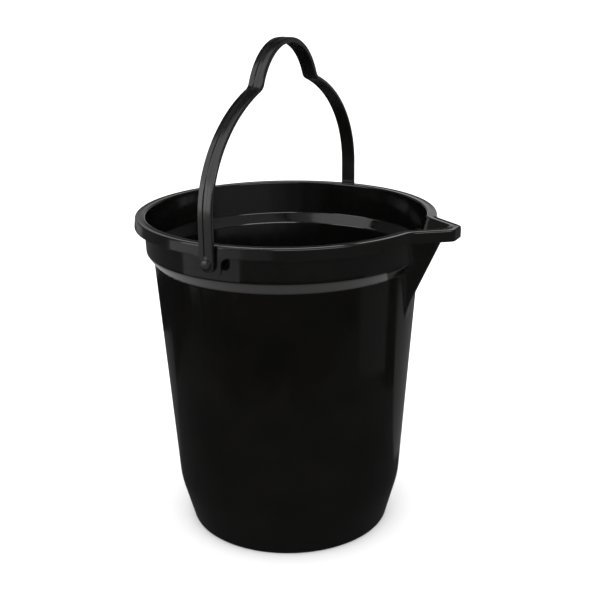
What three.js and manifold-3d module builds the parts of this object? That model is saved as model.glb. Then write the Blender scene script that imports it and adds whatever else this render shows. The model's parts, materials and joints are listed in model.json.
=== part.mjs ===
// A moulded plastic bucket with a pouring spout and a strap bail handle on two pivot studs.
// Millimetres, +Z up. The origin is on the bucket's axis, in the plane it stands on.
// +X points along the spout, and the handle turns about an axis parallel to Y.
import * as THREE from 'three';
import { mergeVertices } from 'three/addons/utils/BufferGeometryUtils.js';
import Module from 'manifold-3d';

const wasm = await Module();
wasm.setup();

// Rim: a flat flange with a skirt turned down from its edge. It sets the bucket's width.
const rimRadius = 150;
const rimEdgeRadius = 1.6;
const rimOverhang = 8.2;
const flangeThickness = 2;
const skirtDepth = 10.3;
const skirtDraft = 0.9;
const skirtWall = 2;

// Body, from the rim down: an upright collar, a sloping shoulder, and a wall that tapers in two stages.
const bucketHeight = 328.6;
const collarHeight = 35.5;
const collarTaper = 1.3;
const shoulderHeight = 10.1;
const shoulderStep = 7.2;
const bodyTaper = 16.7;
const kneeHeight = 46.3;
const footTaper = 12.6;
const baseEdgeRadius = 2.5;
const wall = 2;
const floorThickness = 2.6;

// Spout: the flange drawn out to a blunt tip, over a hollow wedge that runs down the wall. Its straight
// sides would meet the rim's circle at the root and the tip's face at the tip, without their rounds.
const spoutProjection = 28.6;
const spoutRootHalfWidth = 35;
const spoutRootFillet = 18;
const spoutTipHalfWidth = 10.5;
const spoutCornerRadius = 7;
const spoutSkirtDrop = 0.7;
const spoutFlangeWidth = 8.6;
const spoutLap = 12;
const noseSetback = 14.6;
const noseRadius = 8;
const noseSideAngle = 55;
const noseDepth = 86;

// Ears: tabs that carry the handle on below the skirt.
const earHalfWidth = 12.5;
const earDepth = 27.6;
const earCornerRadius = 5;
const earFilletRadius = 7;

// Pivot: how far the handle's axis lies below the rim, and the two studs on it.
const pivotDrop = 17.4;
const shankRadius = 3.4;
const studHeadLap = 1.9;
const studHeadHeight = 1.8;
const studEdgeHeight = 0.6;
const studCollarLap = 2;
const studCollarThickness = 1.5;
const runningGap = 0.3;

// Handle: a flat strap bent to an arch, with a raised grip in the middle that swings over the spout.
const strapWidth = 14.6;
const strapThickness = 3.9;
const strapEarGap = 0.6;
const legHeight = 40;
const archFlattening = 1.8;
const gripRadius = 64;
const gripSpoutGap = 0.9;
const gripHollowStart = 0.5;
const gripBlendRadius = 9;
const gripThickness = 5.4;
const gripLipWidth = 2.8;
const grooveWidth = 3.6;
const grooveDepth = 1.1;
const grooveEndHeight = 7;

// How finely round shapes are divided.
const turnSegments = 72;
const arcSegments = 5;
const archSegments = 26;
const pinSegments = 32;

// Outer radii of the body.
const collarTopRadius = rimRadius - rimOverhang;
const collarFootRadius = collarTopRadius - collarTaper;
const bodyTopRadius = collarFootRadius - shoulderStep;
const kneeRadius = bodyTopRadius - bodyTaper;
const baseRadius = kneeRadius - footTaper;

// Heights on the body.
const underFlangeZ = bucketHeight - flangeThickness;
const skirtFootZ = bucketHeight - skirtDepth;
const spoutFootZ = skirtFootZ - spoutSkirtDrop;
const collarFootZ = bucketHeight - collarHeight;
const bodyTopZ = collarFootZ - shoulderHeight;
const pivotZ = bucketHeight - pivotDrop;

// The rest of what follows from the sizes above.
const skirtFootRadius = rimRadius + skirtDraft;
const spoutReach = rimRadius + spoutProjection;
const noseReach = spoutReach - noseSetback;
const studHeadRadius = shankRadius + studHeadLap;
const studCollarRadius = shankRadius + studCollarLap;
const strapOuterY = skirtFootRadius + strapEarGap + strapThickness;
const archRise = strapOuterY - archFlattening - legHeight;
const spoutTopSwing = Math.hypot(spoutReach, pivotZ - bucketHeight + rimEdgeRadius);
const spoutFootSwing = Math.hypot(spoutReach + skirtDraft, pivotZ - spoutFootZ);
const gripTopHeight = Math.max(spoutTopSwing, spoutFootSwing) + gripSpoutGap + gripThickness;

const fullTurn = 2 * Math.PI;
const overcut = 1;
const weldDistance = 1e-4;
const bisections = 50;

// ---- turning three.js geometry into solids and back ----

function toSolid(geometry) {
  const bare = geometry.clone();
  bare.deleteAttribute('normal');
  bare.deleteAttribute('uv');
  const merged = mergeVertices(bare, weldDistance);
  const corners = merged.index.array;
  const kept = [];
  for (let i = 0; i < corners.length; i += 3) {
    const [a, b, c] = [corners[i], corners[i + 1], corners[i + 2]];
    if (a !== b && b !== c && c !== a) kept.push(a, b, c);
  }
  const vertProperties = new Float32Array(merged.attributes.position.array);
  const triVerts = new Uint32Array(kept);
  return new wasm.Manifold(new wasm.Mesh({ numProp: 3, vertProperties, triVerts }));
}

function toMesh(solid, name, material) {
  const { vertProperties, triVerts } = solid.getMesh();
  const geometry = new THREE.BufferGeometry();
  geometry.setAttribute('position', new THREE.BufferAttribute(vertProperties, 3));
  geometry.setIndex(new THREE.BufferAttribute(triVerts, 1));
  geometry.computeVertexNormals();
  const mesh = new THREE.Mesh(geometry, material);
  mesh.name = name;
  return mesh;
}

// ---- shapes that several pieces use ----

// A profile of [radius, height] points turned about Z, anticlockwise with the radius to the right.
function turned(profile, segments = turnSegments) {
  const points = profile.map(([radius, height]) => new THREE.Vector2(radius, height));
  return toSolid(new THREE.LatheGeometry(points, segments).rotateX(Math.PI / 2));
}

// The points of a quarter round from one direction to another, angles in degrees.
function roundEdge(centreRadius, centreHeight, radius, fromAngle, toAngle) {
  const points = [];
  for (let step = 0; step <= arcSegments; step += 1) {
    const angle = THREE.MathUtils.degToRad(THREE.MathUtils.lerp(fromAngle, toAngle, step / arcSegments));
    points.push([centreRadius + radius * Math.cos(angle), centreHeight + radius * Math.sin(angle)]);
  }
  return points;
}

// A prism along Y of an outline drawn in the X-Z plane.
function crossPrism(shape, lowY, highY) {
  const geometry = new THREE.ExtrudeGeometry(shape, {
    depth: highY - lowY,
    bevelEnabled: false,
    curveSegments: 2 * arcSegments,
  });
  return toSolid(geometry.rotateX(Math.PI / 2).translate(0, highY, 0));
}

// A prism across X, centred, of a closed outline of points in the Y-Z plane.
function sideways(outline, width) {
  const geometry = new THREE.ExtrudeGeometry(new THREE.Shape(outline), {
    depth: width,
    bevelEnabled: false,
  });
  geometry.translate(0, 0, -width / 2);
  return toSolid(geometry.rotateX(Math.PI / 2).rotateZ(Math.PI / 2));
}

// A solid skinned through matching rings of points, lowest ring first, each anticlockwise from above.
function lofted(rings) {
  const count = rings[0].length;
  const positions = rings.flat().flatMap((point) => point.toArray());
  const faces = [];
  for (let level = 0; level + 1 < rings.length; level += 1) {
    for (let i = 0; i < count; i += 1) {
      const next = (i + 1) % count;
      const [a, b] = [level * count + i, level * count + next];
      const [c, d] = [a + count, b + count];
      faces.push(a, b, d, a, d, c);
    }
  }
  const top = (rings.length - 1) * count;
  const flat = (ring) => ring.map((point) => new THREE.Vector2(point.x, point.y));
  THREE.ShapeUtils.triangulateShape(flat(rings[0]), []).forEach(([a, b, c]) => faces.push(a, c, b));
  THREE.ShapeUtils.triangulateShape(flat(rings.at(-1)), []).forEach(([a, b, c]) => {
    faces.push(top + a, top + b, top + c);
  });
  const geometry = new THREE.BufferGeometry();
  geometry.setAttribute('position', new THREE.Float32BufferAttribute(positions, 3));
  geometry.setIndex(faces);
  return toSolid(geometry);
}

// ---- bucket shell ----

// The outside of the body as a solid of revolution, up to the underside of the rim.
function bodyOutside() {
  return turned([
    [0, 0],
    ...roundEdge(baseRadius - baseEdgeRadius, baseEdgeRadius, baseEdgeRadius, -90, 0),
    [kneeRadius, kneeHeight],
    [bodyTopRadius, bodyTopZ],
    [collarFootRadius, collarFootZ],
    [collarTopRadius, bucketHeight - flangeThickness / 2],
    [0, bucketHeight - flangeThickness / 2],
  ]);
}

// The hollow: the outside profile set in by the wall, opening out round the rim's inner edge.
function bodyInside() {
  const mouthRadius = collarTopRadius - wall;
  const stepRise = wall * Math.tan(Math.atan2(shoulderStep, shoulderHeight) / 2);
  return turned([
    [0, floorThickness],
    [baseRadius - wall - baseEdgeRadius, floorThickness],
    [baseRadius - wall, floorThickness + baseEdgeRadius],
    [kneeRadius - wall, kneeHeight],
    [bodyTopRadius - wall, bodyTopZ + stepRise],
    [collarFootRadius - wall, collarFootZ + stepRise],
    [mouthRadius, bucketHeight - rimEdgeRadius],
    [mouthRadius + rimEdgeRadius, bucketHeight],
    [mouthRadius + rimEdgeRadius, bucketHeight + overcut],
    [0, bucketHeight + overcut],
  ]);
}

// How far the rim's outside stands out beyond its plan outline, and at what height, from the skirt's foot up.
function rimSide(footZ) {
  return [
    [skirtDraft, footZ],
    ...roundEdge(-rimEdgeRadius, bucketHeight - rimEdgeRadius, rimEdgeRadius, 0, 90),
  ];
}

// The rim's outside: a disc, and the spout standing out of it.
function rimOutside() {
  const side = rimSide(skirtFootZ).map(([out, height]) => [rimRadius + out, height]);
  const disc = turned([[0, skirtFootZ], ...side, [0, bucketHeight]]);
  return disc.add(lofted(rimSide(spoutFootZ).map(([out, height]) => spoutRing(-out, height))));
}

// The space inside the skirt, under the flange.
function rimPocket() {
  const disc = turned([
    [0, spoutFootZ - overcut],
    [skirtFootRadius - skirtWall, spoutFootZ - overcut],
    [skirtFootRadius - skirtWall, skirtFootZ],
    [rimRadius - skirtWall, underFlangeZ],
    [0, underFlangeZ],
  ]);
  const spout = lofted([
    spoutRing(skirtWall - skirtDraft, spoutFootZ - overcut),
    spoutRing(skirtWall - skirtDraft, spoutFootZ),
    spoutRing(skirtWall, underFlangeZ),
  ]);
  return disc.add(spout);
}

// The spout's straight side in plan: the way it faces, its distance from the bucket's axis, and the
// centre of the round that blends it into the rim's circle.
function spoutSide() {
  const rootX = Math.sqrt(rimRadius ** 2 - spoutRootHalfWidth ** 2);
  const normal = new THREE.Vector2(spoutRootHalfWidth - spoutTipHalfWidth, spoutReach - rootX).normalize();
  const along = new THREE.Vector2(normal.y, -normal.x);
  const distance = normal.dot(new THREE.Vector2(rootX, spoutRootHalfWidth));
  const filletOut = distance + spoutRootFillet;
  const filletAlong = Math.sqrt((rimRadius + spoutRootFillet) ** 2 - filletOut ** 2);
  const filletCentre = normal.clone().multiplyScalar(filletOut).addScaledVector(along, filletAlong);
  return { normal, distance, filletCentre };
}

// The spout's plan outline at one height, set in by an inset, reaching back inside the collar.
function spoutRing(inset, z) {
  const { normal, distance, filletCentre } = spoutSide();
  const side = normal.angle();
  const root = filletCentre.angle();
  const backX = collarTopRadius - spoutLap;
  const backY = (rimRadius - inset) * Math.sin(root);
  const cornerX = spoutReach - spoutCornerRadius;
  const cornerY = (distance - spoutCornerRadius - normal.x * cornerX) / normal.y;
  const corner = spoutCornerRadius - inset;
  const fillet = spoutRootFillet + inset;
  const shape = new THREE.Shape();
  shape.moveTo(backX, -backY);
  shape.absarc(filletCentre.x, -filletCentre.y, fillet, Math.PI - root, Math.PI - side, true);
  shape.absarc(cornerX, -cornerY, corner, -side, 0, false);
  shape.absarc(cornerX, cornerY, corner, 0, side, false);
  shape.absarc(filletCentre.x, filletCentre.y, fillet, Math.PI + side, Math.PI + root, true);
  shape.lineTo(backX, backY);
  return shape.getPoints(arcSegments).map((point) => new THREE.Vector3(point.x, point.y, z));
}

// One level of the wedge: a round nose, and two straight sides that run back inside the body.
function wedgeRing(z, reach, radius, sideAngle) {
  const centreX = reach - radius;
  const backX = bodyTopRadius - spoutLap;
  const sideX = centreX + radius * Math.cos(sideAngle);
  const sideY = radius * Math.sin(sideAngle);
  const backY = sideY + (sideX - backX) / Math.tan(sideAngle);
  const ring = [new THREE.Vector3(backX, -backY, z)];
  for (let step = 0; step <= 2 * arcSegments; step += 1) {
    const angle = THREE.MathUtils.lerp(-sideAngle, sideAngle, step / (2 * arcSegments));
    ring.push(new THREE.Vector3(centreX + radius * Math.cos(angle), radius * Math.sin(angle), z));
  }
  ring.push(new THREE.Vector3(backX, backY, z));
  return ring;
}

// The wedge under the spout. Its nose leaves the wall noseDepth below the rim, reaches noseReach at the
// skirt's edge, and opens out above that to the flange's inner edge. The inset is 0 outside, wall inside.
function spoutWedge(inset, topZ) {
  const { normal, distance } = spoutSide();
  const sideAngle = THREE.MathUtils.degToRad(noseSideAngle);
  const lowZ = bucketHeight - noseDepth;
  const lowReach = THREE.MathUtils.mapLinear(lowZ, kneeHeight, bodyTopZ, kneeRadius, bodyTopRadius);
  const mouthReach = spoutReach - spoutFlangeWidth;
  const mouthRadius = (distance - spoutFlangeWidth - mouthReach * normal.x) / (1 - normal.x);
  const growth = wall - inset;
  return lofted([
    wedgeRing(lowZ, lowReach - inset, noseRadius - inset, sideAngle),
    wedgeRing(spoutFootZ, noseReach - inset, noseRadius - inset, sideAngle),
    wedgeRing(topZ, mouthReach + growth, mouthRadius + growth, normal.angle()),
  ]);
}

// The ear seen from the side it faces: a tab with round lower corners, blended into the skirt's edge.
function earOutline() {
  const lowZ = bucketHeight - earDepth;
  const outX = earHalfWidth + earFilletRadius;
  const cornerX = earHalfWidth - earCornerRadius;
  const filletZ = skirtFootZ - earFilletRadius;
  const shape = new THREE.Shape();
  shape.moveTo(-outX, skirtFootZ + overcut);
  shape.lineTo(-outX, skirtFootZ);
  shape.absarc(-outX, filletZ, earFilletRadius, Math.PI / 2, 0, true);
  shape.absarc(-cornerX, lowZ + earCornerRadius, earCornerRadius, Math.PI, 1.5 * Math.PI, false);
  shape.absarc(cornerX, lowZ + earCornerRadius, earCornerRadius, -Math.PI / 2, 0, false);
  shape.absarc(outX, filletZ, earFilletRadius, Math.PI, Math.PI / 2, true);
  shape.lineTo(outX, skirtFootZ + overcut);
  shape.closePath();
  return shape;
}

// Both ears, curved like the skirt that they continue.
function ears() {
  const innerRadius = skirtFootRadius - skirtWall;
  const lowZ = bucketHeight - earDepth - overcut;
  const highZ = skirtFootZ + 2 * overcut;
  const tube = turned([
    [innerRadius, lowZ],
    [skirtFootRadius, lowZ],
    [skirtFootRadius, highZ],
    [innerRadius, highZ],
    [innerRadius, lowZ],
  ]);
  return tube.intersect(crossPrism(earOutline(), -skirtFootRadius - overcut, skirtFootRadius + overcut));
}

// A round hole along the pivot axis, right through everything on it.
function pivotHole(radius) {
  const length = 2 * (strapOuterY + overcut);
  const rod = new THREE.CylinderGeometry(radius, radius, length, pinSegments);
  return toSolid(rod.translate(0, 0, pivotZ));
}

function bucketShell() {
  const rim = rimOutside()
    .subtract(rimPocket())
    .add(ears())
    .subtract(pivotHole(shankRadius + runningGap));
  return rim
    .add(bodyOutside())
    .add(spoutWedge(0, underFlangeZ + overcut))
    .subtract(bodyInside())
    .subtract(spoutWedge(wall, bucketHeight + overcut));
}

// ---- handle ----

// Where the arch's ellipse gives way to the grip: the ellipse angle at which a round of
// gripBlendRadius touches both the ellipse and the grip's circle.
function gripBlend() {
  const gripCentre = new THREE.Vector2(0, gripTopHeight - gripRadius);
  const onEllipse = (angle) => {
    const point = new THREE.Vector2(strapOuterY * Math.cos(angle), legHeight + archRise * Math.sin(angle));
    const normal = new THREE.Vector2(Math.cos(angle) / strapOuterY, Math.sin(angle) / archRise).normalize();
    return { point, normal, centre: point.clone().addScaledVector(normal, gripBlendRadius) };
  };
  let [low, high] = [0, Math.PI / 2];
  for (let step = 0; step < bisections; step += 1) {
    const middle = (low + high) / 2;
    const clear = onEllipse(middle).centre.distanceTo(gripCentre) > gripRadius + gripBlendRadius;
    [low, high] = clear ? [middle, high] : [low, middle];
  }
  return { angle: low, centre: onEllipse(low).centre, gripCentre, onEllipse };
}

// The strap's outer face from the right foot to the left one: each point with its outward direction, and
// how far the strap has grown there from its plain thickness (0) to the grip's (1).
function archFace() {
  const { angle, centre, gripCentre, onEllipse } = gripBlend();
  const half = [-strapWidth, 0].map((height) => ({
    point: new THREE.Vector2(strapOuterY, height),
    normal: new THREE.Vector2(1, 0),
    growth: 0,
  }));
  for (let step = 0; step <= archSegments; step += 1) {
    const { point, normal } = onEllipse((angle * step) / archSegments);
    half.push({ point, normal, growth: 0 });
  }
  const gripAngle = centre.clone().sub(gripCentre).angle();
  const from = half.at(-1).normal.angle() + Math.PI;
  const to = gripAngle + Math.PI;
  for (let step = 1; step <= arcSegments; step += 1) {
    const share = step / arcSegments;
    const turn = THREE.MathUtils.lerp(from, to, share);
    const out = new THREE.Vector2(Math.cos(turn), Math.sin(turn));
    const point = centre.clone().addScaledVector(out, gripBlendRadius);
    half.push({ point, normal: out.negate(), growth: share });
  }
  for (let step = 1; step <= archSegments / 2; step += 1) {
    const turn = THREE.MathUtils.lerp(gripAngle, Math.PI / 2, (2 * step) / archSegments);
    const normal = new THREE.Vector2(Math.cos(turn), Math.sin(turn));
    half.push({ point: gripCentre.clone().addScaledVector(normal, gripRadius), normal, growth: 1 });
  }
  const mirrored = half.slice(0, -1).reverse().map(({ point, normal, growth }) => ({
    point: new THREE.Vector2(-point.x, point.y),
    normal: new THREE.Vector2(-normal.x, normal.y),
    growth,
  }));
  return [...half, ...mirrored];
}

// The outline between two depths below the outer face, each a function of the strap's growth.
function archBand(face, nearDepth, farDepth) {
  const at = ({ point, normal, growth }, depth) =>
    new THREE.Vector2(0, pivotZ).add(point).addScaledVector(normal, -depth(growth));
  const near = face.map((station) => at(station, nearDepth));
  const far = face.map((station) => at(station, farDepth)).reverse();
  return [...near, ...far];
}

// The strap's shape seen along the pivot axis: straight sides and round ends about the pivot.
function strapOutline() {
  const half = strapWidth / 2;
  const shape = new THREE.Shape();
  shape.moveTo(half, pivotZ);
  shape.lineTo(half, pivotZ + gripTopHeight + overcut);
  shape.lineTo(-half, pivotZ + gripTopHeight + overcut);
  shape.lineTo(-half, pivotZ);
  shape.absarc(0, pivotZ, half, Math.PI, fullTurn, false);
  return shape;
}

function bailHandle() {
  const face = archFace();
  const backDepth = (growth) => THREE.MathUtils.lerp(strapThickness, gripThickness, growth);
  const strap = sideways(archBand(face, () => 0, backDepth), strapWidth + overcut)
    .intersect(crossPrism(strapOutline(), -strapOuterY - overcut, strapOuterY + overcut));
  const grooveEnd = (side) => ({
    point: new THREE.Vector2(side * strapOuterY, grooveEndHeight),
    normal: new THREE.Vector2(side, 0),
    growth: 0,
  });
  const grooved = [grooveEnd(1), ...face.filter(({ point }) => point.y > grooveEndHeight), grooveEnd(-1)];
  const groove = sideways(archBand(grooved, () => -overcut, () => grooveDepth), grooveWidth);
  const gripped = face.filter(({ growth }) => growth > gripHollowStart);
  const gripHollow = sideways(
    archBand(gripped, () => strapThickness, () => gripThickness + overcut),
    strapWidth - 2 * gripLipWidth,
  );
  return strap.subtract(groove).subtract(gripHollow).subtract(pivotHole(shankRadius + runningGap));
}

// ---- pivot studs ----

// A stud along +Y: a collar behind the ear, the shank, and a domed head outside the strap.
function studProfile() {
  const earBackRadius = (skirtFootRadius - skirtWall) * Math.cos(Math.PI / turnSegments);
  const collarFaceY = Math.sqrt(earBackRadius ** 2 - studCollarRadius ** 2) - runningGap;
  const headFaceY = strapOuterY + runningGap;
  const domeRise = studHeadHeight - studEdgeHeight;
  const profile = [
    [0, collarFaceY - studCollarThickness],
    [studCollarRadius, collarFaceY - studCollarThickness],
    [studCollarRadius, collarFaceY],
    [shankRadius, collarFaceY],
    [shankRadius, headFaceY],
    [studHeadRadius, headFaceY],
  ];
  for (let step = 0; step <= arcSegments; step += 1) {
    const angle = (step / arcSegments) * (Math.PI / 2);
    const radius = step === arcSegments ? 0 : studHeadRadius * Math.cos(angle);
    profile.push([radius, headFaceY + studEdgeHeight + domeRise * Math.sin(angle)]);
  }
  return profile.map(([radius, y]) => new THREE.Vector2(radius, y));
}

function pivotStud(name, turn) {
  const mesh = new THREE.Mesh(new THREE.LatheGeometry(studProfile(), pinSegments), handlePlastic.clone());
  mesh.name = name;
  mesh.position.z = pivotZ;
  mesh.rotation.z = turn;
  return mesh;
}

// ---- assembly ----

const shellPlastic = new THREE.MeshStandardMaterial({ color: 0x0b0b0c, roughness: 0.28, metalness: 0 });
const handlePlastic = new THREE.MeshStandardMaterial({ color: 0x161617, roughness: 0.42, metalness: 0 });

const bucket = new THREE.Group();
bucket.add(toMesh(bucketShell(), 'bucket_shell', shellPlastic));
bucket.add(toMesh(bailHandle(), 'bail_handle', handlePlastic));
bucket.add(pivotStud('pivot_stud_left', Math.PI));
bucket.add(pivotStud('pivot_stud_right', 0));

export default bucket;
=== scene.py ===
import json
import math

import bmesh
import bpy
import numpy as np
from mathutils import Matrix, Vector


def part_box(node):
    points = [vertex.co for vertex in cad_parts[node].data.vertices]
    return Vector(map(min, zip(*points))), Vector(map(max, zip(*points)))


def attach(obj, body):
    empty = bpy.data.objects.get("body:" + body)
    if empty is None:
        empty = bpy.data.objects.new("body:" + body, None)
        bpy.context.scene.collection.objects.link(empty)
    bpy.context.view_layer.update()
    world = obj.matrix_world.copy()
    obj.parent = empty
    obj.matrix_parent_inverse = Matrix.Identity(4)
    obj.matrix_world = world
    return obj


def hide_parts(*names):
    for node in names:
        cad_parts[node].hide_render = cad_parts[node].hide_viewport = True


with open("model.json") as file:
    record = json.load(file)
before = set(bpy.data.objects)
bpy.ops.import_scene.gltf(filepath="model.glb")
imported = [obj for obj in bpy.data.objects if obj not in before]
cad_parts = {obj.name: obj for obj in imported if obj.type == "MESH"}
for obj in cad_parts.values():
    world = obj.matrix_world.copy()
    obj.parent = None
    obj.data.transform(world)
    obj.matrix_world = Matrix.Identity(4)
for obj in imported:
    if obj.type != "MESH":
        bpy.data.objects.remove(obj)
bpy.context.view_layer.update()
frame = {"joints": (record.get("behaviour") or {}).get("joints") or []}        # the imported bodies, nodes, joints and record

MM = 0.001

# ---- places that the frame gives ----

shell_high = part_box("bucket_shell")[1]
handle_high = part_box("bail_handle")[1]
stud_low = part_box("pivot_stud_right")[0]
pivot_z = frame["joints"][0]["pos_m"][2]

# ---- sizes ----

# Rim and spout
SKIRT_DRAFT = 0.9 * MM
SKIRT_WALL = 2 * MM
SKIRT_DEPTH = 10.3 * MM
SPOUT_SKIRT_DROP = 0.7 * MM
RIM_OVERHANG = 8.2 * MM
RIM_EDGE = 1.6 * MM
RIM_DISH = 0.35 * MM
FLANGE = 2 * MM
FOOT_EDGE = 0.6 * MM
INNER_FILLET = 0.8 * MM
SPOUT_ROOT_HALF = 35 * MM
SPOUT_TIP_HALF = 10.5 * MM
SPOUT_ROOT_BLEND = 4.6 * MM
SPOUT_TIP_BLEND = 3.8 * MM
SPOUT_FLANGE = 8.6 * MM
MOUTH_BLEND = 6.8 * MM
NOSE_SETBACK = 14.6 * MM
NOSE_RADIUS = 8 * MM
NOSE_SIDE = math.radians(55)
NOSE_DEPTH = 86 * MM
NOSE_BLEND = 6 * MM

# Body
COLLAR_HEIGHT = 35.5 * MM
COLLAR_TAPER = 1.3 * MM
SHOULDER_HEIGHT = 10.1 * MM
SHOULDER_STEP = 7.2 * MM
SHOULDER_ROUND = 3 * MM
BODY_TAPER = 16.7 * MM
KNEE_HEIGHT = 46.3 * MM
KNEE_ROUND = 80 * MM
FOOT_TAPER = 12.6 * MM
BASE_ROUND = 2.5 * MM
WALL = 2 * MM
FLOOR = 2.6 * MM
GATE_RADIUS = 3.5 * MM
GATE_DEPTH = 0.6 * MM

# Ears
EAR_HALF = 12.5 * MM
EAR_DEPTH = 27.6 * MM
EAR_CORNER = 5 * MM
EAR_FILLET = 7 * MM
EAR_SPREAD = 30 * MM

# Handle and studs
STRAP_THICKNESS = 3.9 * MM
STRAP_EDGE = 0.9 * MM
STRAP_CROWN = 0.35 * MM
LEG_HEIGHT = 40 * MM
ARCH_FLATTENING = 1.8 * MM
GRIP_RADIUS = 64 * MM
GRIP_BLEND = 9 * MM
GRIP_THICKNESS = 5.4 * MM
GRIP_LIP = 2.8 * MM
GROOVE_WIDTH = 3.6 * MM
GROOVE_DEPTH = 1.1 * MM
GROOVE_SOFT = 0.7 * MM
GROOVE_END = 7 * MM
HOLE_RADIUS = 3.7 * MM
SHANK_RADIUS = 3.4 * MM
STUD_HEAD_RADIUS = 5.3 * MM
STUD_HEAD_HEIGHT = 1.8 * MM
STUD_EDGE_HEIGHT = 0.6 * MM
STUD_COLLAR_RADIUS = 5.4 * MM
STUD_COLLAR_THICKNESS = 1.5 * MM
STUD_BEVEL = 0.25 * MM
RUNNING_GAP = 0.3 * MM

# Mesh fineness
SPOUT_SPREAD = math.radians(17)
SPOUT_STEP = math.radians(0.35)
EAR_STEP = 1 * MM
PLAIN_STEP = math.radians(2)
PLAIN_ROW = 7 * MM
FINE_ROW = 2.4 * MM
ROUND_STEP = math.radians(15)
TURNED_COLUMNS = 64
FOOT_ROWS = 37
NORMAL_WEIGHT = 60
SEARCH_ROUNDS = 40

# Points across the strap's section, in mm from its middle or from the edge of its groove or hollow
OUTER_MIDDLE = (0, 0.55)
GROOVE_EDGE = (-0.75, -0.5, -0.3, -0.1, 0.1, 0.3, 0.55)
OUTER_SIDE = (3.2, 4.8)
INNER_SIDE = (6.2,)
HOLLOW_EDGE = (0.8, 0.5, 0.25, 0, -0.25, -0.5, -1)
INNER_MIDDLE = (2.4, 1.2, 0)

# Camera
CAMERA_TURN = math.radians(27.3)
CAMERA_DISTANCE = 1016.7 * MM
CAMERA_HEIGHT = 564.8 * MM
CAMERA_PITCH = 0.3148
CAMERA_YAW = -0.0127
CAMERA_ROLL = 0.0109
CAMERA_LENS = 62.36
CAMERA_SENSOR = 36
CAMERA_NEAR = 0.05
CAMERA_FAR = 50

# Studio
FLOOR_HALF = 60
FLOOR_WHITE = (0.9, 0.9, 0.9, 1)
FLOOR_ROUGHNESS = 0.9
WORLD_STRENGTH = 1.55
TOP_LIGHT_SIZE = 1.4
TOP_LIGHT_POWER = 12
CARD_STEP = 5
PAPER_BELOW = -1 * MM
ROOM_BELOW = -3 * MM
ROOM_REACH = 6
WINDOW_REACH = 1.6

# Plastic
SHELL_BLACK = (0.0026, 0.0024, 0.0022)
SHELL_WORN = (0.014, 0.013, 0.012)
SATIN_BLACK = (0.005, 0.0046, 0.0044)
SATIN_WORN = (0.025, 0.024, 0.023)
SPECULAR = 0.5
GRAIN = 0.015
BUMP_STRENGTH = 0.22
BUMP_DISTANCE = 0.6 * MM
WORN_DULLING = 0.12

# What follows from the frame and the sizes
top_z = shell_high.z
skirt_radius = shell_high.y
rim_radius = skirt_radius - SKIRT_DRAFT
spout_reach = shell_high.x
skirt_foot_z = top_z - SKIRT_DEPTH
spout_foot_z = skirt_foot_z - SPOUT_SKIRT_DROP
under_z = top_z - FLANGE
edge_z = top_z - RIM_EDGE
collar_top = rim_radius - RIM_OVERHANG
collar_foot = collar_top - COLLAR_TAPER
body_top = collar_foot - SHOULDER_STEP
knee_radius = body_top - BODY_TAPER
base_radius = knee_radius - FOOT_TAPER
collar_foot_z = top_z - COLLAR_HEIGHT
body_top_z = collar_foot_z - SHOULDER_HEIGHT
nose_low_z = top_z - NOSE_DEPTH
nose_reach = spout_reach - NOSE_SETBACK
mouth_reach = spout_reach - SPOUT_FLANGE
strap_half = handle_high.x
strap_outer = handle_high.y
grip_top = handle_high.z - pivot_z
arch_rise = strap_outer - ARCH_FLATTENING - LEG_HEIGHT


def mix(low, high, share):
    return low + (high - low) * share


def smooth_max(a, b, blend):
    """The larger of two lengths, rounded over where they differ by less than the blend."""
    near = np.clip(blend - np.abs(a - b), 0, None) / blend
    return np.maximum(a, b) + near**2 * blend / 4


def smooth_min(a, b, blend):
    return -smooth_max(-a, -b, blend)


def smooth_step(x):
    x = np.clip(x, 0, 1)
    return x * x * (3 - 2 * x)


# ---- meshes ----


def new_piece(name, vertices, faces, material):
    """A smooth closed mesh object, welded, with its faces pointing out."""
    mesh = bpy.data.meshes.new(name)
    mesh.from_pydata([tuple(v) for v in vertices], [], faces)
    work = bmesh.new()
    work.from_mesh(mesh)
    bmesh.ops.remove_doubles(work, verts=work.verts, dist=1e-7)
    bmesh.ops.dissolve_degenerate(work, edges=work.edges, dist=1e-7)
    bmesh.ops.recalc_face_normals(work, faces=work.faces)
    for face in work.faces:
        face.smooth = True
    work.to_mesh(mesh)
    work.free()
    mesh.materials.append(material)
    piece = bpy.data.objects.new(name, mesh)
    bpy.context.scene.collection.objects.link(piece)
    return piece


def grid_faces(rows, columns, closed):
    """The quads between rows of vertices, each row the same number of columns long."""
    faces = []
    for row in range(rows - 1):
        for column in range(columns if closed else columns - 1):
            beside = (column + 1) % columns
            low = row * columns
            high = low + columns
            faces.append((low + column, low + beside, high + beside, high + column))
    return faces


def turned_piece(name, profile, count, place, material):
    """A closed profile of (radius, height) points turned about Z, and then put in place by a matrix."""
    angles = np.linspace(0, 2 * math.pi, count, endpoint=False)
    rows = [
        np.stack([r * np.cos(angles), r * np.sin(angles), np.full(count, z)], 1)
        for r, z in profile[1:-1]
    ]
    vertices = np.concatenate(rows + [[[0, 0, profile[0][1]]], [[0, 0, profile[-1][1]]]])
    faces = grid_faces(len(rows), count, True)
    first = len(vertices) - 2
    last = first + 1
    top = (len(rows) - 1) * count
    for column in range(count):
        beside = (column + 1) % count
        faces.append((first, beside, column))
        faces.append((last, top + column, top + beside))
    piece = new_piece(name, vertices, faces, material)
    piece.data.transform(place)
    return piece


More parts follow.
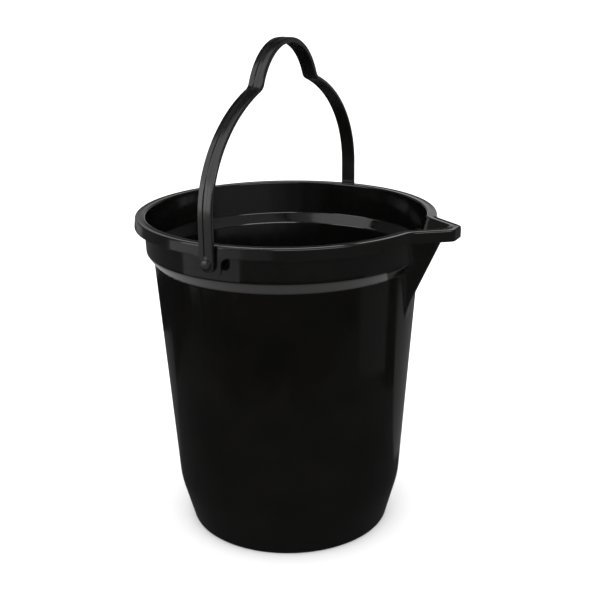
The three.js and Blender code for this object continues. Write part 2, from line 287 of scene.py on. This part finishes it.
def cut(piece, *cutters):
    """Cuts solids out of a piece, and removes them."""
    for cutter in cutters:
        modifier = piece.modifiers.new("cut", "BOOLEAN")
        modifier.operation = "DIFFERENCE"
        modifier.solver = "EXACT"
        modifier.object = cutter
    bpy.context.view_layer.update()
    graph = bpy.context.evaluated_depsgraph_get()
    mesh = bpy.data.meshes.new_from_object(piece.evaluated_get(graph))
    piece.modifiers.clear()
    piece.data = mesh
    for cutter in cutters:
        bpy.data.objects.remove(cutter)


def even_normals(piece):
    """Lets the large faces set the normals, so that flats stay flat beside small rounds."""
    modifier = piece.modifiers.new("even_normals", "WEIGHTED_NORMAL")
    modifier.mode = "FACE_AREA"
    modifier.weight = NORMAL_WEIGHT


def pivot_rod(name, near, far, radius, material):
    """A rod along the pivot axis between two distances, on the +Y side, or the -Y side if negative."""
    side = math.copysign(1, near)
    place = Matrix.Translation((0, 0, pivot_z)) @ Matrix.Rotation(-side * math.pi / 2, 4, "X")
    profile = [(0, abs(near)), (radius, abs(near)), (radius, abs(far)), (0, abs(far))]
    return turned_piece(name, profile, TURNED_COLUMNS, place, material)


# ---- bucket shell ----


def spread(low, high, step):
    return np.linspace(low, high, max(1, round((high - low) / step)), endpoint=False)


def column_angles():
    """The azimuths of the shell's columns, closer together at the spout and the ears."""
    ear = EAR_SPREAD / skirt_radius
    ear_step = ear / round(ear_edge_length() / EAR_STEP)
    right = math.pi / 2
    left = 3 * math.pi / 2
    return np.concatenate(
        [
            spread(-SPOUT_SPREAD, SPOUT_SPREAD, SPOUT_STEP),
            spread(SPOUT_SPREAD, right - ear, PLAIN_STEP),
            spread(right - ear, right + ear, ear_step),
            spread(right + ear, left - ear, PLAIN_STEP),
            spread(left - ear, left + ear, ear_step),
            spread(left + ear, 2 * math.pi - SPOUT_SPREAD, PLAIN_STEP),
        ]
    )


def ear_stretches():
    """The lengths of the ear's edge from its lowest middle point: flat, corner, side, fillet and skirt."""
    side = (skirt_foot_z - EAR_FILLET) - (top_z - EAR_DEPTH + EAR_CORNER)
    return [
        EAR_HALF - EAR_CORNER,
        EAR_CORNER * math.pi / 2,
        side,
        EAR_FILLET * math.pi / 2,
        EAR_SPREAD - EAR_HALF - EAR_FILLET,
    ]


def ear_edge_length():
    return sum(ear_stretches())


def ear_edge(length):
    """A point of the ear's edge, as (arc, height), and the direction from it into the ear."""
    flat, corner, side, fillet, _ = ear_stretches()
    low_z = top_z - EAR_DEPTH
    if length <= flat:
        return length, low_z, 0, 1
    length -= flat
    if length <= corner:
        turn = length / EAR_CORNER
        s = math.sin(turn)
        c = math.cos(turn)
        return EAR_HALF - EAR_CORNER * (1 - s), low_z + EAR_CORNER * (1 - c), -s, c
    length -= corner
    if length <= side:
        return EAR_HALF, low_z + EAR_CORNER + length, -1, 0
    length -= side
    if length <= fillet:
        turn = length / EAR_FILLET
        s = math.sin(turn)
        c = math.cos(turn)
        return EAR_HALF + EAR_FILLET * (1 - c), skirt_foot_z - EAR_FILLET * (1 - s), -c, s
    return EAR_HALF + EAR_FILLET + length - fillet, skirt_foot_z, 0, 1


angles = column_angles()
away = np.abs((angles + math.pi) % (2 * math.pi) - math.pi)
spouted = away < SPOUT_SPREAD
rays = np.stack([np.cos(angles), np.sin(angles)], 1)


def plan_normals(radius):
    """The outward directions of a plan curve given as a radius in each column."""
    slope = np.gradient(radius, angles)
    around = np.stack([-rays[:, 1], rays[:, 0]], 1)
    normals = radius[:, None] * rays - slope[:, None] * around
    return normals / np.linalg.norm(normals, axis=1)[:, None]


def ring(plan, height):
    """A row of vertices from a plan curve and a height, which may differ from column to column."""
    return np.column_stack([plan, np.broadcast_to(height, len(plan))])


def spout_side():
    """The way the spout's straight side faces in plan, and its distance from the axis."""
    root_x = math.sqrt(rim_radius**2 - SPOUT_ROOT_HALF**2)
    facing = math.atan2(spout_reach - root_x, SPOUT_ROOT_HALF - SPOUT_TIP_HALF)
    distance = root_x * math.cos(facing) + SPOUT_ROOT_HALF * math.sin(facing)
    return facing, distance


def rim_outline():
    """The rim's radius in each column: a circle, drawn out to the spout's blunt tip."""
    facing, distance = spout_side()
    side = distance / np.cos(away - facing)
    tip = spout_reach / np.cos(away)
    spout = smooth_min(side, tip, SPOUT_TIP_BLEND)
    return np.where(spouted, smooth_max(rim_radius, spout, SPOUT_ROOT_BLEND), rim_radius)


def wedge(height, inset):
    """The radius in each column of the wedge under the spout, at one height."""
    facing, distance = spout_side()
    low_reach = np.interp(nose_low_z, [KNEE_HEIGHT, body_top_z], [knee_radius, body_top])
    mouth_nose = (distance - SPOUT_FLANGE - mouth_reach * math.cos(facing)) / (1 - math.cos(facing))
    climb = (height - nose_low_z) / (spout_foot_z - nose_low_z)
    opening = max(0, (height - spout_foot_z) / (top_z - spout_foot_z))
    reach = mix(low_reach, nose_reach, min(climb, 1))
    reach = mix(reach, mouth_reach + WALL, opening) - inset
    radius = mix(NOSE_RADIUS, mouth_nose + WALL, opening) - inset
    side = mix(NOSE_SIDE, facing, opening)
    centre = reach - radius
    lean = np.arcsin(np.clip(centre * np.sin(away) / radius, -1, 1))
    face = np.minimum(away + lean, side)
    return np.where(spouted, (centre * np.cos(face) + radius) / np.cos(face - away), 0)


def body_ring(radius, height, inset):
    """A row of the body's wall: a circle, with the wedge standing out of it."""
    blend = mix(NOSE_BLEND, MOUTH_BLEND, max(0, (height - spout_foot_z) / (top_z - spout_foot_z)))
    return smooth_max(radius, wedge(height, inset), blend)


def rounded_profile(corners):
    """A profile of (radius, height) rows through corners (radius, height, round), with the corners
    rounded and the straight stretches divided."""
    points = [corners[0][:2]]
    for before, corner, after in zip(corners, corners[1:], corners[2:]):
        here = np.array(corner[:2])
        back = np.array(before[:2]) - here
        on = np.array(after[:2]) - here
        back /= np.linalg.norm(back)
        on /= np.linalg.norm(on)
        half = math.acos(np.clip(back @ on, -1, 1)) / 2
        if corner[2] == 0:
            points.append(tuple(here))
            continue
        centre = here + (back + on) / np.linalg.norm(back + on) * corner[2] / math.sin(half)
        start = here + back * corner[2] / math.tan(half) - centre
        end = here + on * corner[2] / math.tan(half) - centre
        turn = math.pi - 2 * half
        steps = max(3, math.ceil(turn / ROUND_STEP))
        for step in range(steps + 1):
            share = step / steps
            blend = (math.sin((1 - share) * turn) * start + math.sin(share * turn) * end) / math.sin(turn)
            points.append(tuple(centre + blend))
    points.append(corners[-1][:2])
    rows = [points[0]]
    for (r0, z0), (r1, z1) in zip(points, points[1:]):
        step = FINE_ROW if max(z0, z1) > nose_low_z - PLAIN_ROW else PLAIN_ROW
        count = max(1, math.ceil(math.hypot(r1 - r0, z1 - z0) / step - 0.01))
        for part in range(1, count + 1):
            rows.append((mix(r0, r1, part / count), mix(z0, z1, part / count)))
    return rows


def collar_radius(height):
    return np.interp(height, [collar_foot_z, top_z], [collar_foot, collar_top])


def outside_rows():
    """The outside of the body, from the gate mark under its middle up to the flange."""
    profile = rounded_profile(
        [
            (GATE_RADIUS / 2, GATE_DEPTH, 0),
            (GATE_RADIUS, GATE_DEPTH, GATE_DEPTH / 2),
            (GATE_RADIUS + GATE_DEPTH, 0, GATE_DEPTH / 2),
            (base_radius, 0, BASE_ROUND),
            (knee_radius, KNEE_HEIGHT, KNEE_ROUND),
            (body_top, body_top_z, SHOULDER_ROUND),
            (collar_foot, collar_foot_z, SHOULDER_ROUND + WALL),
            (collar_radius(under_z - INNER_FILLET), under_z - INNER_FILLET, 0),
        ]
    )
    return [ring(body_ring(r, z, 0)[:, None] * rays, z) for r, z in profile]


def inside_rows():
    """The inside of the body, from the mouth down to the floor."""
    step_rise = WALL * math.tan(math.atan2(SHOULDER_STEP, SHOULDER_HEIGHT) / 2)
    profile = rounded_profile(
        [
            (collar_radius(edge_z) - WALL, edge_z, 0),
            (collar_foot - WALL, collar_foot_z + step_rise, SHOULDER_ROUND),
            (body_top - WALL, body_top_z + step_rise, SHOULDER_ROUND + WALL),
            (knee_radius - WALL, KNEE_HEIGHT, KNEE_ROUND),
            (base_radius - WALL, FLOOR, BASE_ROUND + WALL),
            (GATE_RADIUS, FLOOR, 0),
        ]
    )
    return [ring(body_ring(r, z, WALL)[:, None] * rays, z) for r, z in profile[1:]]


def quarter(low, high, count=6):
    return [math.radians(mix(low, high, step / count)) for step in range(count + 1)]


def skirt_edge():
    """Each column's place on the skirt's lower edge, as an azimuth and a height, and the direction from
    it into the skirt, as an azimuth and a height for each unit of length."""
    spout_share = smooth_step((SPOUT_SPREAD - away) / (SPOUT_SPREAD / 3))
    places = np.column_stack([angles, skirt_foot_z - SPOUT_SKIRT_DROP * spout_share])
    inward = np.tile([0.0, 1.0], (len(angles), 1))
    for column, angle in enumerate(angles):
        for middle in (math.pi / 2, 3 * math.pi / 2):
            arc = (angle - middle) * skirt_radius
            if abs(arc) > EAR_SPREAD:
                continue
            side = math.copysign(1, arc)
            length = abs(arc) / EAR_SPREAD * ear_edge_length()
            along, height, into_arc, into_height = ear_edge(length)
            places[column] = middle + side * along / skirt_radius, height
            inward[column] = side * into_arc / skirt_radius, into_height
    return places, inward


def rim_rows():
    """The flange and its skirt, from under the flange, round the skirt's foot, over the top and in."""
    outline = rim_outline()
    rim = outline[:, None] * rays
    out = plan_normals(outline)
    in_ear = ~spouted[:, None]
    places, inward = skirt_edge()
    draft_share = 1 - smooth_step((SPOUT_SPREAD - away) / SPOUT_SPREAD * 2)

    def skirt_ring(place, depth):
        """A row of the skirt at (azimuth, height) places, at a depth below its outer face."""
        azimuth, height = place[:, 0], place[:, 1]
        ray = np.stack([np.cos(azimuth), np.sin(azimuth)], 1)
        flare = SKIRT_DRAFT * np.clip((edge_z - height) / (edge_z - skirt_foot_z), 0, 1) * draft_share
        base = np.where(in_ear, rim_radius * ray, rim)
        facing = np.where(in_ear, ray, out)
        return ring(base + facing * (flare - depth)[:, None], height)

    rows = []
    # the round between the wall and the flange's underside
    fillet_z = under_z - INNER_FILLET
    body = body_ring(collar_radius(fillet_z), fillet_z, 0)
    body_out = plan_normals(body)
    body = body[:, None] * rays
    for turn in quarter(0, 90, 4)[1:]:
        rise = INNER_FILLET * math.sin(turn)
        offset = INNER_FILLET * (1 - math.cos(turn))
        rows.append(ring(body + body_out * offset, fillet_z + rise))
    # the round between the underside and the skirt
    for turn in quarter(90, 0, 4):
        rise = INNER_FILLET * math.sin(turn)
        inset = SKIRT_WALL + INNER_FILLET * (1 - math.cos(turn))
        rows.append(ring(rim - out * inset, fillet_z + rise))
    # down inside the skirt, round its foot, and up outside
    inner_top = np.column_stack([angles, np.full(len(angles), fillet_z)])
    outer_top = np.column_stack([angles, np.full(len(angles), edge_z)])
    foot = places + inward * FOOT_EDGE
    for share in (0.25, 0.5, 0.72, 0.88):
        rows.append(skirt_ring(mix(inner_top, foot, share), SKIRT_WALL))
    for turn in quarter(0, 90, 4):
        place = places + inward * FOOT_EDGE * (1 - math.sin(turn))
        rows.append(skirt_ring(place, SKIRT_WALL - FOOT_EDGE * (1 - math.cos(turn))))
    for turn in quarter(90, 0, 4):
        place = places + inward * FOOT_EDGE * (1 - math.sin(turn))
        rows.append(skirt_ring(place, FOOT_EDGE * (1 - math.cos(turn))))
    for share in (0.08, 0.2, 0.36, 0.55, 0.76):
        rows.append(skirt_ring(mix(foot, outer_top, share), 0))
    # over the edge, across the flange and round into the mouth
    for turn in quarter(0, 90):
        rows.append(ring(rim - out * RIM_EDGE * (1 - math.cos(turn)), edge_z + RIM_EDGE * math.sin(turn)))
    mouth = body_ring(collar_radius(edge_z) - WALL, edge_z, WALL)
    mouth_out = plan_normals(mouth)
    mouth = mouth[:, None] * rays
    outer = rim - out * RIM_EDGE
    inner = mouth + mouth_out * RIM_EDGE
    for share in (0.1, 0.25, 0.4, 0.5, 0.6, 0.75, 0.9):
        rows.append(ring(mix(outer, inner, share), top_z - RIM_DISH * math.sin(share * math.pi)))
    for turn in quarter(90, 0):
        offset = RIM_EDGE * (1 - math.cos(turn))
        rows.append(ring(mouth + mouth_out * offset, edge_z + RIM_EDGE * math.sin(turn)))
    return rows


def bucket_shell(material):
    rows = outside_rows() + rim_rows() + inside_rows()
    count = len(angles)
    vertices = np.concatenate(rows + [[[0, 0, GATE_DEPTH]], [[0, 0, FLOOR]]])
    faces = grid_faces(len(rows), count, True)
    under = len(vertices) - 2
    floor = under + 1
    last = (len(rows) - 1) * count
    for column in range(count):
        beside = (column + 1) % count
        faces.append((under, beside, column))
        faces.append((floor, last + column, last + beside))
    piece = new_piece("florist_bucket_shell", vertices, faces, material)
    near = skirt_radius - 2 * SKIRT_WALL
    far = strap_outer
    rods = [pivot_rod("hole", side * near, side * far, HOLE_RADIUS, material) for side in (1, -1)]
    cut(piece, *rods)
    even_normals(piece)
    return piece


# ---- handle ----


def arch_point(turn):
    """A point of the arch's ellipse above the pivot, as (across, up), and its outward direction."""
    point = np.array([strap_outer * math.cos(turn), LEG_HEIGHT + arch_rise * math.sin(turn)])
    normal = np.array([math.cos(turn) / strap_outer, math.sin(turn) / arch_rise])
    return point, normal / np.linalg.norm(normal)


def half_arch():
    """Stations of the strap's outer face from the right pivot to the top of the grip: (point, outward
    direction, growth), where the growth goes from 0 at the strap's thickness to 1 at the grip's."""
    grip_centre = np.array([0, grip_top - GRIP_RADIUS])
    low = 0
    high = math.pi / 2
    for _ in range(SEARCH_ROUNDS):
        middle = (low + high) / 2
        point, normal = arch_point(middle)
        clear = np.linalg.norm(point + normal * GRIP_BLEND - grip_centre) > GRIP_RADIUS + GRIP_BLEND
        if clear:
            low = middle
        else:
            high = middle
    point, normal = arch_point(low)
    blend_centre = point + normal * GRIP_BLEND
    start = math.atan2(*(-normal)[::-1]) % (2 * math.pi)
    to_grip = grip_centre - blend_centre
    end = math.atan2(to_grip[1], to_grip[0]) % (2 * math.pi)
    stations = []
    for up in np.linspace(0, LEG_HEIGHT, 50):
        stations.append((np.array([strap_outer, up]), np.array([1.0, 0.0]), 0.0))
    stations += [(*arch_point(turn), 0.0) for turn in np.linspace(0, low, 100)[1:]]
    for share in np.linspace(0, 1, 14)[1:]:
        turn = mix(start, end, share)
        ray = np.array([math.cos(turn), math.sin(turn)])
        stations.append((blend_centre + ray * GRIP_BLEND, -ray, float(smooth_step(share))))
    first = math.atan2(-to_grip[1], -to_grip[0])
    for turn in np.linspace(first, math.pi / 2, 46)[1:]:
        ray = np.array([math.cos(turn), math.sin(turn)])
        stations.append((grip_centre + ray * GRIP_RADIUS, ray, 1.0))
    return stations


def channel(across, along, half_width, depth):
    """How deep a channel with soft edges and a round end is, at places across and along from its end."""
    short = np.clip(half_width - along, 0, None)
    distance = np.hypot(across, short)
    return depth * smooth_step((half_width - distance) / GROOVE_SOFT + 0.5)


def points_across(steps, start=0):
    return [start + step * MM for step in steps]


def strap_section():
    """The half section from the outer face's middle, round the edge, to the inner face's middle: for each
    point how far across it is, its share of the thickness, and how much of it the edges round away."""
    groove = points_across(GROOVE_EDGE, GROOVE_WIDTH / 2)
    hollow = points_across(HOLLOW_EDGE, strap_half - GRIP_LIP)
    outer = points_across(OUTER_MIDDLE) + groove + points_across(OUTER_SIDE)
    inner = points_across(INNER_SIDE) + hollow + points_across(INNER_MIDDLE)
    flat = [(across, 0.0, 0.0) for across in outer]
    corner = strap_half - STRAP_EDGE
    for turn in quarter(0, 90, 4):
        flat.append((corner + STRAP_EDGE * math.sin(turn), 0.0, STRAP_EDGE * (1 - math.cos(turn))))
    for turn in quarter(90, 0, 4):
        flat.append((corner + STRAP_EDGE * math.sin(turn), 1.0, -STRAP_EDGE * (1 - math.cos(turn))))
    flat += [(across, 1.0, 0.0) for across in inner]
    return flat


def bail_handle(material):
    half = half_arch()
    mirrored = [(p * [-1, 1], n * [-1, 1], g) for p, n, g in half[-2::-1]]
    stations = half + mirrored
    points = np.array([p for p, _, _ in stations])
    lengths = np.concatenate([[0], np.cumsum(np.linalg.norm(np.diff(points, axis=0), axis=1))])
    grown = [i for i, (_, _, g) in enumerate(stations) if g > 0.5]
    section = strap_section()
    loop = section + [(-a, share, off) for a, share, off in section[-2:0:-1]]
    across = np.array([a for a, _, _ in loop])
    share = np.array([s for _, s, _ in loop])
    rounding = np.array([o for _, _, o in loop])
    vertices = []
    for index, (point, normal, growth) in enumerate(stations):
        from_end = min(lengths[index], lengths[-1] - lengths[index]) - GROOVE_END
        from_grip = min(lengths[index] - lengths[grown[0]], lengths[grown[-1]] - lengths[index])
        thickness = mix(STRAP_THICKNESS, GRIP_THICKNESS, growth)
        groove = channel(across, from_end, GROOVE_WIDTH / 2, GROOVE_DEPTH)
        hollow = channel(across, from_grip, strap_half - GRIP_LIP, GRIP_THICKNESS - STRAP_THICKNESS)
        crown = STRAP_CROWN * (across / strap_half) ** 2
        depth = share * (thickness - hollow) + (1 - share) * (groove + crown) + rounding
        up = pivot_z + point[1] - normal[1] * depth
        vertices.append(np.column_stack([across, point[0] - normal[0] * depth, up]))
    faces = grid_faces(len(vertices), len(loop), True)
    vertices = [v for row in vertices for v in row]
    # the round feet: half the leg's section turned half round the pivot
    for side in (1, -1):
        rows = []
        for turn in np.linspace(0, math.pi, FOOT_ROWS):
            for a, s, o in section:
                crown = STRAP_CROWN * (a / strap_half) ** 2
                depth = s * STRAP_THICKNESS + (1 - s) * crown + o
                y = side * (strap_outer - depth)
                rows.append((a * math.cos(turn), y, pivot_z - a * math.sin(turn)))
        offset = len(vertices)
        vertices += rows
        for quad in grid_faces(FOOT_ROWS, len(section), False):
            faces.append(tuple(offset + v for v in quad))
    piece = new_piece("florist_bucket_handle", vertices, faces, material)
    far = strap_outer + STRAP_THICKNESS
    near = strap_outer - 2 * STRAP_THICKNESS
    cut(piece, *[pivot_rod("hole", side * near, side * far, HOLE_RADIUS, material) for side in (1, -1)])
    even_normals(piece)
    return piece


# ---- studs ----


def pivot_stud(name, side, material):
    """A stud with a round collar behind the ear, a shank, and a domed head outside the strap."""
    back = stud_low.y
    collar_face = back + STUD_COLLAR_THICKNESS
    head_face = strap_outer + RUNNING_GAP
    profile = [
        (0, back),
        (STUD_COLLAR_RADIUS - STUD_BEVEL, back),
        (STUD_COLLAR_RADIUS, back + STUD_BEVEL),
        (STUD_COLLAR_RADIUS, collar_face - STUD_BEVEL),
        (STUD_COLLAR_RADIUS - STUD_BEVEL, collar_face),
        (SHANK_RADIUS, collar_face),
        (SHANK_RADIUS, mix(collar_face, head_face, 0.5)),
        (SHANK_RADIUS, head_face),
        (STUD_HEAD_RADIUS - STUD_BEVEL, head_face),
        (STUD_HEAD_RADIUS, head_face + STUD_BEVEL),
    ]
    dome = STUD_HEAD_HEIGHT - STUD_EDGE_HEIGHT
    for turn in quarter(0, 90, 12):
        radius = 0 if turn >= math.pi / 2 else STUD_HEAD_RADIUS * math.cos(turn)
        profile.append((radius, head_face + STUD_EDGE_HEIGHT + dome * math.sin(turn)))
    place = Matrix.Translation((0, 0, pivot_z)) @ Matrix.Rotation(-side * math.pi / 2, 4, "X")
    piece = turned_piece(name, profile, TURNED_COLUMNS, place, material)
    even_normals(piece)
    return piece


# ---- materials ----


def moulded_plastic(name, colour, worn_colour, roughness, streaks):
    """Moulded plastic: a slightly uneven gloss with fine upright draw marks, an orange-peel skin,
    faint clouding in its colour, and paler, duller edges."""
    material = bpy.data.materials.new(name)
    material.use_nodes = True
    nodes = material.node_tree.nodes
    links = material.node_tree.links
    shader = nodes["Principled BSDF"]
    shader.inputs["Specular IOR Level"].default_value = SPECULAR
    place = nodes.new("ShaderNodeTexCoord")

    def noise(scale, detail, stretch=(1, 1, 1)):
        mapping = nodes.new("ShaderNodeMapping")
        mapping.inputs["Scale"].default_value = stretch
        links.new(place.outputs["Object"], mapping.inputs["Vector"])
        texture = nodes.new("ShaderNodeTexNoise")
        texture.inputs["Scale"].default_value = scale
        texture.inputs["Detail"].default_value = detail
        links.new(mapping.outputs["Vector"], texture.inputs["Vector"])
        return texture.outputs["Fac"]

    def ranged(value, low, high, to_low, to_high):
        scaled = nodes.new("ShaderNodeMapRange")
        links.new(value, scaled.inputs["Value"])
        for key, number in zip(("From Min", "From Max", "To Min", "To Max"), (low, high, to_low, to_high)):
            scaled.inputs[key].default_value = number
        return scaled.outputs["Result"]

    def maths(operation, first, second):
        node = nodes.new("ShaderNodeMath")
        node.operation = operation
        for socket, value in zip(node.inputs, (first, second)):
            if isinstance(value, (int, float)):
                socket.default_value = value
            else:
                links.new(value, socket)
        return node.outputs["Value"]

    # colour: faint clouds, paler where edges stand out
    clouds = nodes.new("ShaderNodeValToRGB")
    clouds.color_ramp.elements[0].position = 0.3
    clouds.color_ramp.elements[0].color = (*(0.8 * c for c in colour), 1)
    clouds.color_ramp.elements[1].position = 0.7
    clouds.color_ramp.elements[1].color = (*(1.25 * c for c in colour), 1)
    links.new(noise(22, 3), clouds.inputs["Fac"])
    shape = nodes.new("ShaderNodeNewGeometry")
    edges = ranged(shape.outputs["Pointiness"], 0.53, 0.62, 0, 1)
    scuffs = ranged(noise(140, 4), 0.42, 0.62, 0.15, 1)
    wear = maths("MULTIPLY", edges, scuffs)
    worn = nodes.new("ShaderNodeMix")
    worn.data_type = "RGBA"
    links.new(wear, worn.inputs["Factor"])
    links.new(clouds.outputs["Color"], worn.inputs["A"])
    worn.inputs["B"].default_value = (*worn_colour, 1)
    links.new(worn.outputs["Result"], shader.inputs["Base Color"])

    # roughness: draw marks, cloudy gloss and duller worn edges
    draw_marks = ranged(noise(streaks, 3, (1, 1, 0.03)), 0.35, 0.65, -0.035, 0.035)
    gloss = ranged(noise(9, 2), 0.3, 0.7, roughness - 0.03, roughness + 0.04)
    uneven = maths("ADD", draw_marks, gloss)
    dulled = maths("ADD", uneven, maths("MULTIPLY", wear, WORN_DULLING))
    links.new(dulled, shader.inputs["Roughness"])

    # skin: shallow sink waves, orange peel and fine grain
    waves = noise(14, 1, (1, 1, 0.35))
    peel = maths("MULTIPLY", noise(520, 2), GRAIN)
    bump = nodes.new("ShaderNodeBump")
    bump.inputs["Strength"].default_value = BUMP_STRENGTH
    bump.inputs["Distance"].default_value = BUMP_DISTANCE
    links.new(maths("ADD", waves, peel), bump.inputs["Height"])
    links.new(bump.outputs["Normal"], shader.inputs["Normal"])
    return material


shell_plastic = moulded_plastic("shell_gloss", SHELL_BLACK, SHELL_WORN, 0.12, 260)
handle_plastic = moulded_plastic("handle_satin", SATIN_BLACK, SATIN_WORN, 0.2, 420)
stud_plastic = moulded_plastic("stud_satin", SATIN_BLACK, SATIN_WORN, 0.22, 420)

# ---- the pieces on their bodies ----


def place_piece(piece, body, node):
    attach(piece, body)
    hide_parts(node)


place_piece(bucket_shell(shell_plastic), "bucket", "bucket_shell")
place_piece(bail_handle(handle_plastic), "handle", "bail_handle")
for end, side in (("right", 1), ("left", -1)):
    stud = pivot_stud(f"pivot_stud_head_{end}", side, stud_plastic)
    place_piece(stud, "bucket", f"pivot_stud_{end}")

# ---- floor, light and camera ----


def from_camera(turn, distance, height):
    """A point at a distance from the bucket's axis, turned to the right from the camera's side of it."""
    angle = CAMERA_TURN - math.pi / 2 + math.radians(turn)
    return distance * math.cos(angle), distance * math.sin(angle), height


def stage_sheet(name, corners, faces, material):
    mesh = bpy.data.meshes.new(name)
    mesh.from_pydata(corners, [], faces)
    mesh.materials.append(material)
    sheet = bpy.data.objects.new(name, mesh)
    bpy.context.scene.collection.objects.link(sheet)
    return sheet


def studio_floor():
    material = bpy.data.materials.new("pale_floor")
    material.use_nodes = True
    shader = material.node_tree.nodes["Principled BSDF"]
    shader.inputs["Base Color"].default_value = FLOOR_WHITE
    shader.inputs["Roughness"].default_value = FLOOR_ROUGHNESS
    shader.inputs["Specular IOR Level"].default_value = 0
    corners = [(-1, -1), (1, -1), (1, 1), (-1, 1)]
    corners = [(x * FLOOR_HALF, y * FLOOR_HALF, 0) for x, y in corners]
    floor = stage_sheet("floor", corners, [(0, 1, 2, 3)], material)
    floor.visible_glossy = False


def edge(distance, height):
    """An edge of a reflection card that keeps its distance from the axis and its height all the way."""
    return lambda turn: (distance, height)


def paper_edge(turn):
    """The wavy edge of the white paper under the bucket."""
    lobes = 0.5 + 0.5 * math.cos(math.radians(turn - 55) * 3.3)
    return 0.4 + 0.2 * lobes**2, PAPER_BELOW


def reflection_card(name, turns, near, far, brightness):
    """A glowing strip, seen only in the plastic's gloss, that runs round the bucket from one turn to
    another between two edges."""
    steps = range(turns[0], turns[1] + 1, CARD_STEP)
    corners = [from_camera(turn, *side(turn)) for side in (near, far) for turn in steps]
    material = bpy.data.materials.new(name)
    material.use_nodes = True
    nodes = material.node_tree.nodes
    links = material.node_tree.links
    nodes.remove(nodes["Principled BSDF"])
    glow = nodes.new("ShaderNodeEmission")
    glow.inputs["Strength"].default_value = brightness
    links.new(glow.outputs["Emission"], nodes["Material Output"].inputs["Surface"])
    strip = stage_sheet(name, corners, grid_faces(2, len(steps), False), material)
    strip.visible_camera = False
    strip.visible_diffuse = False
    strip.visible_transmission = False
    strip.visible_shadow = False


def softbox(name, place, aim, width, height, power):
    """A rectangular soft light at a place, facing a point, that gives no highlights of its own."""
    light = bpy.data.lights.new(name, "AREA")
    light.shape = "RECTANGLE"
    light.size = width
    light.size_y = height
    light.energy = power
    lamp = bpy.data.objects.new(name, light)
    bpy.context.scene.collection.objects.link(lamp)
    lamp.location = place
    lamp.rotation_euler = (Vector(aim) - Vector(place)).to_track_quat("-Z", "Y").to_euler()
    lamp.visible_glossy = False


def studio_light():
    world = bpy.data.worlds.new("studio")
    bpy.context.scene.world = world
    world.use_nodes = True
    back = world.node_tree.nodes["Background"]
    back.inputs["Color"].default_value = (1, 1, 1, 1)
    back.inputs["Strength"].default_value = WORLD_STRENGTH
    world.cycles_visibility.glossy = False
    above = from_camera(0, 0.3, 1.9)
    softbox("top_light", above, (0, 0, top_z / 2), TOP_LIGHT_SIZE, TOP_LIGHT_SIZE, TOP_LIGHT_POWER)

    # what the gloss sees on the floor
    reflection_card("paper", (0, 360), edge(0, PAPER_BELOW), paper_edge, 0.045)
    reflection_card("room_floor", (0, 360), edge(0, ROOM_BELOW), edge(0.9, ROOM_BELOW), 0.012)
    reflection_card("far_floor", (0, 360), edge(0.9, ROOM_BELOW), edge(ROOM_REACH, ROOM_BELOW), 0.1)
    reflection_card("paper_right", (105, 150), edge(0.2, 0), edge(0.8, 0), 0.15)
    reflection_card("paper_left", (-150, -120), edge(0.2, 0), edge(0.6, 0), 0.09)
    reflection_card("floor_left", (-85, -35), edge(0.78, 0), edge(WINDOW_REACH, 0), 0.45)
    reflection_card("floor_right", (60, 90), edge(0.46, 0), edge(WINDOW_REACH, 0), 0.1)
    # what it sees close under the shoulder, where the paper throws its light up
    under = body_top_z - 1 * MM
    beside = edge(body_top + 0.5 * MM, under)
    reflection_card("shoulder_glow", (80, 405), beside, edge(0.15, under), 0.55)
    # what it sees round about and above
    reflection_card("room_wall", (0, 360), edge(ROOM_REACH, 0), edge(ROOM_REACH, 5), 0.1)
    low_windows = (("left", (-90, -50), 0.8), ("middle", (-50, -30), 0.5), ("front", (-30, -10), 0.25))
    for place, turns, brightness in low_windows:
        foot = edge(WINDOW_REACH, 0.02)
        reflection_card(f"low_window_{place}", turns, foot, edge(WINDOW_REACH, 0.3), brightness)
    reflection_card("window_left", (-80, -45), edge(WINDOW_REACH, 0.3), edge(WINDOW_REACH, 3), 2.6)
    reflection_card("backdrop_right", (130, 185), edge(WINDOW_REACH, 0), edge(WINDOW_REACH, 0.76), 0.6)
    reflection_card("backdrop_left", (185, 230), edge(WINDOW_REACH, 0), edge(WINDOW_REACH, 0.76), 0.35)
    reflection_card("overhead_left", (-100, -35), edge(WINDOW_REACH, 1.1), edge(0.05, 2.4), 1.4)
    reflection_card("ceiling", (90, 260), edge(0, 2.45), edge(1, 2.45), 0.9)
    reflection_card("overhead", (-35, 90), edge(WINDOW_REACH, 1.1), edge(0.3, 2.3), 0.4)
    reflection_card("key_light", (-10, 45), edge(1.1, 0.75), edge(1.1, 1.3), 4.5)
    # strips close inside the near wall of the mouth, for the far wall to reflect
    for turns, brightness in (((20, 100), 0.25), ((0, 20), 0.17), ((-20, 0), 0.1), ((-45, -20), 0.05)):
        reflection_card("bounce", turns, edge(0.126, 0.245), edge(0.1325, 0.318), brightness)


def camera():
    data = bpy.data.cameras.new("camera")
    data.lens = CAMERA_LENS
    data.sensor_width = CAMERA_SENSOR
    data.clip_start = CAMERA_NEAR
    data.clip_end = CAMERA_FAR
    view = bpy.data.objects.new("camera", data)
    bpy.context.scene.collection.objects.link(view)
    place = (
        CAMERA_DISTANCE * math.sin(CAMERA_TURN),
        -CAMERA_DISTANCE * math.cos(CAMERA_TURN),
        CAMERA_HEIGHT,
    )
    view.matrix_world = (
        Matrix.Translation(place)
        @ Matrix.Rotation(CAMERA_TURN + CAMERA_YAW, 4, "Z")
        @ Matrix.Rotation(math.pi / 2 - CAMERA_PITCH, 4, "X")
        @ Matrix.Rotation(-CAMERA_ROLL, 4, "Z")
    )
    bpy.context.scene.camera = view


studio_floor()
studio_light()
camera()
bpy.context.scene.view_settings.view_transform = "Standard"

bpy.context.view_layer.update()
